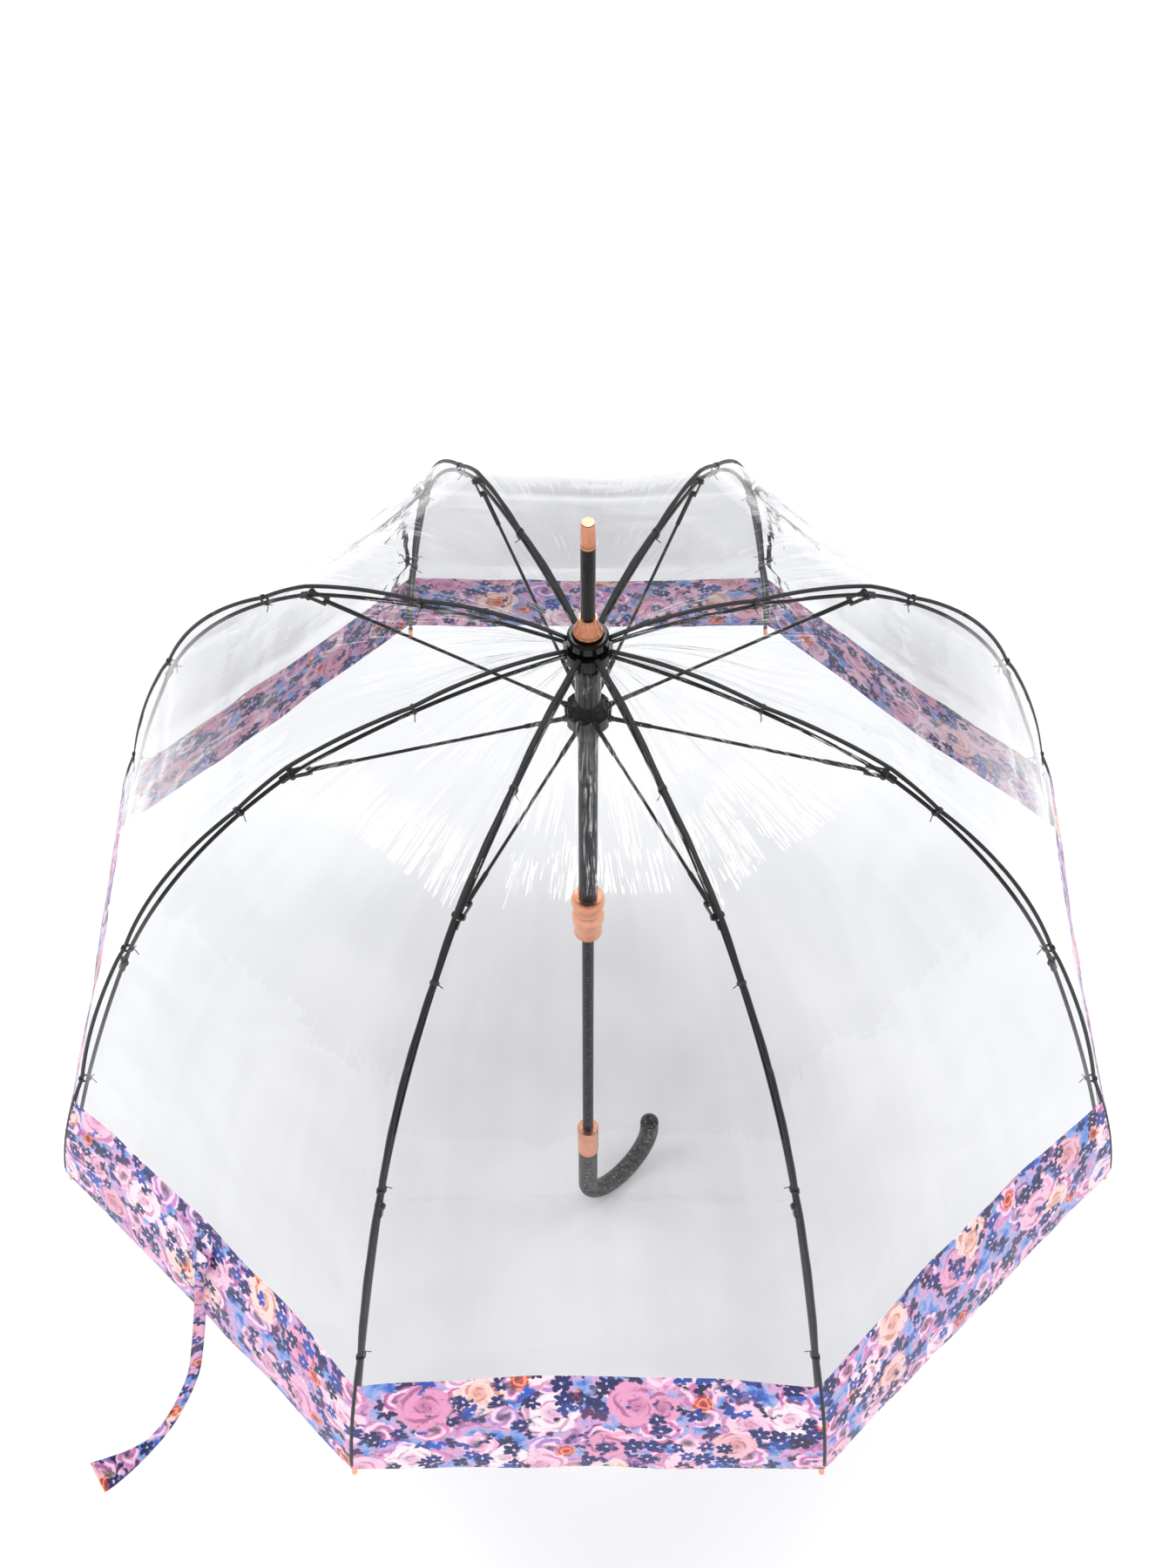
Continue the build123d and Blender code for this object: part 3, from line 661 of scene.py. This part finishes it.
STEPS = (26, 28, 20)
COLS = 49
film_rows = [-1.0 + i / 3 for i in range(3)]
film_rows += list(np.linspace(0, 1, STEPS[0], endpoint=False))
film_rows += list(np.linspace(1, 2, STEPS[1], endpoint=False))
film_rows += list(np.linspace(2, FILM_END, STEPS[2]))
cut_upper = 3 + STEPS[0]
cut_middle = cut_upper + STEPS[1]
FILM_SPANS = ((0, cut_upper), (cut_upper, cut_middle), (cut_middle, len(film_rows) - 1))
MIDDLE = COLS // 2
first = {"film": None, "border": None}
for panel in range(1, RIBS + 1):
    after = panel % RIBS + 1
    vs, points, normals = sheet_grid(panel, lambda v: [[t] * len(v) for t in film_rows], COLS, 0.0)
    lines = np.array([[(panel + v / 2, t) for v in vs] for t in film_rows])
    for role, span in enumerate(FILM_SPANS):
        for rib, side, cols in ((panel, 1, (0, MIDDLE)), (after, -1, (MIDDLE, COLS - 1))):
            part = "a" if side > 0 else "b"
            name = f"film_{panel}_{ROLES[role]}_{part}"
            ob = sheet_piece(name, points, normals, span, cols, FILM, lines, "lines")
            place_half(ob, rib, side, role)
            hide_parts("canopy_film")

    # Printed border: arched along its top, folded hem along its bottom
    def border_rows(v):
        top = np.array([BORDER_TOP - 0.028 * (1 - x * x) + 0.004 * math.sin(9 * x + panel) for x in v])
        low = np.array([BORDER_LOW + 0.003 * math.sin(5 * x + 2 * panel) * (1 - x * x) for x in v])
        return [top + (low - top) * s for s in np.linspace(0, 1, 17)]

    vs, points, normals = sheet_grid(panel, border_rows, COLS, 0.9)
    width = 2 * 430.0 * math.sin(HALF) * MM
    height = np.linspace(97.0 * MM, 0, 17)
    uv = np.array([[(panel * width + x * width / 2, h) for x in vs] for h in height])
    for rib, side, cols in ((panel, 1, (0, MIDDLE)), (after, -1, (MIDDLE, COLS - 1))):
        part = "a" if side > 0 else "b"
        ob = sheet_piece(f"border_{panel}_{part}", points, normals, (0, 16), cols, PRINT, uv, "print")
        place_half(ob, rib, side, 2)
        ob.visible_glossy = False
        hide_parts("canopy_border")


# ---------------------------------------------------------------- seam bindings
def binding(rib, first_t, last_t, steps):
    """Folded tape over a seam: a low ridge that follows both panels and closes under the film."""
    a = az(rib)
    ring = []
    for i in range(steps + 1):
        t = first_t + (last_t - first_t) * i / steps
        (r, z), (nr, nz) = rib_at(t)
        drop = math.tan(HALF) * nr
        wide = 1.9 + 0.15 * math.sin(i * 0.9 + rib)
        base = stand_off(t)
        section = (
            (-wide, 0.5 - wide * drop), (-1.2, 1.2 - 1.2 * drop), (0, 1.5),
            (1.2, 1.2 - 1.2 * drop), (wide, 0.5 - wide * drop),
            (1.2, -0.3 - 1.2 * drop), (0.5, -1.5), (-0.5, -1.5), (-1.2, -0.3 - 1.2 * drop),
        )
        for y, over in section:
            gap = base + over
            p = polar(r + nr * gap, z + nz * gap, a)
            ring.append(p + Vector((-math.sin(a), math.cos(a), 0)) * (y * MM))
    count = 9
    faces = grid_faces(steps + 1, count, wrap=True)
    faces.append(tuple(range(count - 1, -1, -1)))
    faces.append(tuple(range(steps * count, (steps + 1) * count)))
    return ring, faces


for rib in range(1, RIBS + 1):
    spans = ((0.01, 1.5, 60, 1), (1.5, t_at_height(RIM_Z + 8.0), 60, 2))
    for part, (t0, t1, steps, joint) in enumerate(spans):
        ob = new_object(f"binding_{rib}_{part + 1}", *binding(rib, t0, t1, steps), TAPE, closed=True)
        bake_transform(ob)
        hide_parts("seam_tapes")

# ---------------------------------------------------------------- thread ties round rib and binding
for rib in range(1, RIBS + 1):
    for index, (t, role) in enumerate(TIES):
        (r, z), (nr, nz) = rib_at(t)
        a = az(rib)
        side = Vector((-math.sin(a), math.cos(a), 0))
        out = Vector((nr * math.cos(a), nr * math.sin(a), nz))
        along = Vector((nz * math.cos(a), nz * math.sin(a), -nr))
        centre = polar(r + nr * 2.4, z + nz * 2.4, a)
        parts = []
        for turn in (-0.8, 0.0, 0.8):
            loop = []
            for i in range(21):
                b = 2 * math.pi * i / 20
                loop.append(
                    centre
                    + out * (math.cos(b) * 4.6 * MM)
                    + side * (math.sin(b) * 2.7 * MM)
                    + along * (turn * MM)
                )
            parts.append(tube(loop, 0.42 * MM, 6))
        for sign in (-1, 1):
            end = [centre - out * (4.4 * MM)]
            for i in range(1, 6):
                s = i / 5
                end.append(
                    centre
                    - out * ((4.4 + 4.0 * s) * MM)
                    + side * (sign * (3.2 * s + 0.8 * s * s) * MM)
                    + along * (2.5 * s * MM)
                )
            parts.append(tube(end, 0.36 * MM, 6))
        ob = new_object(f"tie_{rib}_{index + 1}", *merge(parts), THREAD, closed=True)
        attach(ob, f"rib_{rib}_{role}")

# ---------------------------------------------------------------- closure strap
# Path of the ribbon in the upright plane through the middle of its panel: radius, height and width, in mm
STRAP_PATH = [
    (397, 377, 11), (402, 352, 10), (409, 318, 9.5), (416, 286, 9.5),
    (423, 256, 9.5), (432, 226, 9.5), (446, 203, 9.5),
    (464, 184, 10), (484, 176, 12), (502, 178, 16), (518, 185, 21), (531, 193, 25),
]
STRAP_AZ = az(5) + HALF


def ribbon(path, turn, thick, lift):
    """Closed ribbon along a path in the upright plane at the strap's azimuth, twisted by turn(share)."""
    out = Vector((math.cos(STRAP_AZ), math.sin(STRAP_AZ), 0))
    side = Vector((-math.sin(STRAP_AZ), math.cos(STRAP_AZ), 0))
    count = (len(path) - 1) * 5 + 1
    at = np.linspace(0, len(path) - 1, count)
    smooth = []
    for x in at:
        i = min(int(x), len(path) - 2)
        ends = [path[max(i - 1, 0)], path[i], path[i + 1], path[min(i + 2, len(path) - 1)]]
        f = x - i
        w = (
            (-f + 2 * f * f - f ** 3) / 2,
            (2 - 5 * f * f + 3 * f ** 3) / 2,
            (f + 4 * f * f - 3 * f ** 3) / 2,
            (f ** 3 - f * f) / 2,
        )
        smooth.append([sum(a * e[c] for a, e in zip(w, ends)) for c in range(3)])
    verts, uv, run = [], [], 0.0
    for i, (r, z, width) in enumerate(smooth):
        a, b = smooth[max(i - 1, 0)], smooth[min(i + 1, count - 1)]
        along = (out * (b[0] - a[0]) + Vector((0, 0, b[1] - a[1]))).normalized()
        normal = side.cross(along).normalized()
        angle = turn(i / (count - 1))
        across = side * math.cos(angle) + normal * math.sin(angle)
        over = across.cross(along).normalized()
        centre = (out * r + Vector((0, 0, z))) * MM
        if i:
            run += math.dist(smooth[i - 1][:2], (r, z)) * MM
        for x, y in ((-1, -1), (-0.4, -1), (0.4, -1), (1, -1), (1, 1), (0.4, 1), (-0.4, 1), (-1, 1)):
            cup = lift * (1 - x * x)
            verts.append(centre + across * (x * width / 2 * MM) + over * ((y * thick / 2 + cup) * MM))
            uv.append((0.3 + x * width / 2 * MM, run + 0.02))
    faces = grid_faces(count, 8, wrap=True)
    faces.append(tuple(range(8)))
    faces.append(tuple(range((count - 1) * 8, count * 8)))
    return verts, faces, uv


def add_uv(ob, uv):
    layer = ob.data.uv_layers.new(name="print")
    for loop in ob.data.loops:
        layer.data[loop.index].uv = uv[loop.vertex_index]


def strap_twist(s):
    """The ribbon hangs nearly edge-on and opens out towards its end."""
    return math.radians(68) * min(1.0, s / 0.16) - math.radians(46) * max(0.0, (s - 0.72) / 0.28)


verts, faces, uv = ribbon(STRAP_PATH, strap_twist, 0.9, 0.5)
strap = new_object("strap_ribbon", verts, faces, PRINT, closed=True)
add_uv(strap, uv)
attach(strap, "closure_strap")
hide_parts("closure_strap")

# Press stud near the flared end
out = Vector((math.cos(STRAP_AZ), math.sin(STRAP_AZ), 0))
stud_at = (out * 521 + Vector((0, 0, 184.5))) * MM
lean = (out * 9 + Vector((0, 0, 12))).normalized()
face_out = Vector((0, 0, 1)) - lean * lean.z
face_out.normalize()
profile = [
    (0.0, 2.0), (1.5, 1.95), (3.1, 1.6), (4.2, 1.3), (4.5, 0.9),
    (4.5, -0.9), (4.2, -1.2), (2.6, -1.3), (2.3, -2.2), (0.0, -2.3),
]
verts = []
side = lean.cross(face_out)
for r, h in profile:
    for j in range(24):
        b = 2 * math.pi * j / 24
        around = lean * math.cos(b) + side * math.sin(b)
        verts.append(stud_at + face_out * (h * MM) + around * (max(r, 0.01) * MM))
stud = new_object("strap_stud", verts, grid_faces(len(profile), 24, wrap=True), STEEL, closed=True)
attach(stud, "closure_strap")
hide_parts("closure_strap")

# Gathered patch that sews the strap to the border
PATCH_PATH = [(386, 394, 5), (391.5, 386, 11), (396.5, 377, 17), (401, 367, 15), (404, 358, 12.5)]
verts, faces, uv = ribbon(PATCH_PATH, lambda s: 0.0, 1.4, 3.0)
patch = new_object("strap_gather_patch", verts, faces, PRINT, closed=True)
add_uv(patch, uv)
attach(patch, "strap_patch")
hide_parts("strap_patch")

# ---------------------------------------------------------------- stage, light and camera
FLOOR_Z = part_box("crook_handle")[0][2]


def floor_material():
    n = Nodes("floor")
    p = n.place()
    tone = n.noise(p, 2.5, 4)
    return n.finish(
        Base_Color=n.mix(tone, (0.93, 0.93, 0.935, 1), (0.95, 0.95, 0.952, 1)), Roughness=0.8,
        Normal=n.bump(n.noise(p, 250, 3), 0.03, 0.0005),
    )


size = 40.0
corners = [(x * size, y * size, FLOOR_Z) for x, y in ((-1, -1), (1, -1), (1, 1), (-1, 1))]
floor = new_object("floor", corners, [(0, 1, 2, 3)], floor_material(), smooth=False)


def softbox(name, place, target, width, height, power, colour=(1, 1, 1)):
    light = bpy.data.lights.new(name, "AREA")
    light.shape = "RECTANGLE"
    light.size, light.size_y = width, height
    light.energy = power
    light.color = colour
    ob = bpy.data.objects.new(name, light)
    ob.location = place
    ob.rotation_mode = "QUATERNION"
    ob.rotation_quaternion = (Vector(target) - Vector(place)).to_track_quat("-Z", "Y")
    bpy.context.scene.collection.objects.link(ob)
    return ob


AIM = (0, 0, 0.6)
softbox("left", (-1.6, 0.1, 2.8), AIM, 0.95, 0.85, 18)
for pane, (x, y, z) in enumerate(((1.0, 0.65, 2.95), (1.32, 0.38, 2.9), (1.65, 0.08, 2.78))):
    softbox(f"window_{pane}", (x, y, z), AIM, 0.27, 0.75, 6.5)
softbox("top", (-0.1, -0.25, 3.3), AIM, 0.28, 0.45, 5)
softbox("rear", (0.1, 1.8, 2.7), AIM, 1.3, 0.3, 8)
softbox("front", (-0.5, -2.6, 1.5), AIM, 1.4, 0.9, 10).visible_glossy = False

world = bpy.data.worlds.new("studio")
bpy.context.scene.world = world
world.use_nodes = True
tree = world.node_tree
back = tree.nodes["Background"]
back.inputs["Color"].default_value = (0.985, 0.992, 1.0, 1)
path = tree.nodes.new("ShaderNodeLightPath")
level = tree.nodes.new("ShaderNodeMapRange")
level.inputs["To Min"].default_value = 1.07
level.inputs["To Max"].default_value = 0.34
tree.links.new(path.outputs["Is Glossy Ray"], level.inputs["Value"])
tree.links.new(level.outputs["Result"], back.inputs["Strength"])

camera = bpy.data.cameras.new("camera")
camera.lens = 51.2
camera.sensor_width = 36.0
camera.clip_start, camera.clip_end = 0.05, 100
cam = bpy.data.objects.new("camera", camera)
cam.location = (0.0, -1.0237, 1.8608)
cam.rotation_mode = "QUATERNION"
cam.rotation_quaternion = Vector((0, 0.6228, -0.7824)).to_track_quat("-Z", "Y")
bpy.context.scene.collection.objects.link(cam)
bpy.context.scene.camera = cam
bpy.context.scene.view_settings.view_transform = "Standard"
